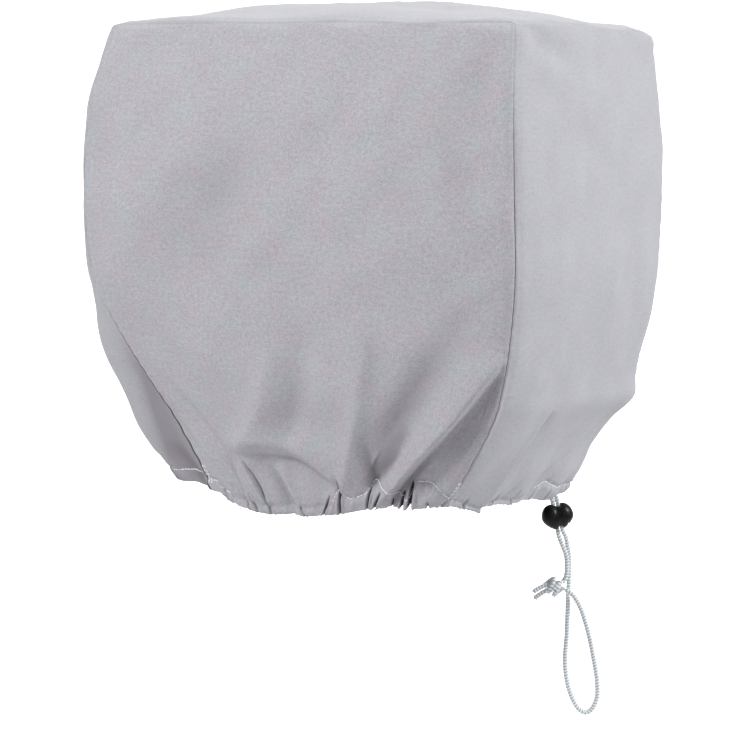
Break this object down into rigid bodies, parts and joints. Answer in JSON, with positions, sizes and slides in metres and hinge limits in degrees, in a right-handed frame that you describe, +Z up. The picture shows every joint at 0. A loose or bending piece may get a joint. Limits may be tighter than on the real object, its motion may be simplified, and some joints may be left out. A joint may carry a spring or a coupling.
{
  "type": "outboard motor cover",
  "caption": "Hollow cloth cover for an outboard motor's cowling, drawn in at its hem by a cord with a sprung ball lock.",
  "frame": {"origin": "middle of the cover's top on the inner face, where the cover rests on the motor's cowling", "axes": "+X to the side of the cover where the cord comes out, +Y across the cover, +Z up; the port side panel faces -Y"},
  "size_m": [0.4949, 0.3651, 0.6755],
  "materials": {
    "cover_cloth": "matt brushed grey woven polyester",
    "draw_cord": "white braided polyester",
    "lock_plastic": "glossy black moulded plastic"
  },
  "bodies": {
    "cover": {"side_panel_port": "cover_cloth", "side_panel_starboard": "cover_cloth", "centre_strip": "cover_cloth", "drawcord_short": "draw_cord", "drawcord_long": "draw_cord", "cord_knot": "draw_cord", "lock_body": "lock_plastic"},
    "button": {"lock_button": "lock_plastic"}
  },
  "joints": [
    {"name": "lock_press", "type": "slide", "parent": "cover", "child": "button", "axis": [-0.8695, -0.4623, -0.1736], "range_m": [0, 0.003], "stiffness_N_per_m": 500, "springref_m": -0.006}
  ]
}
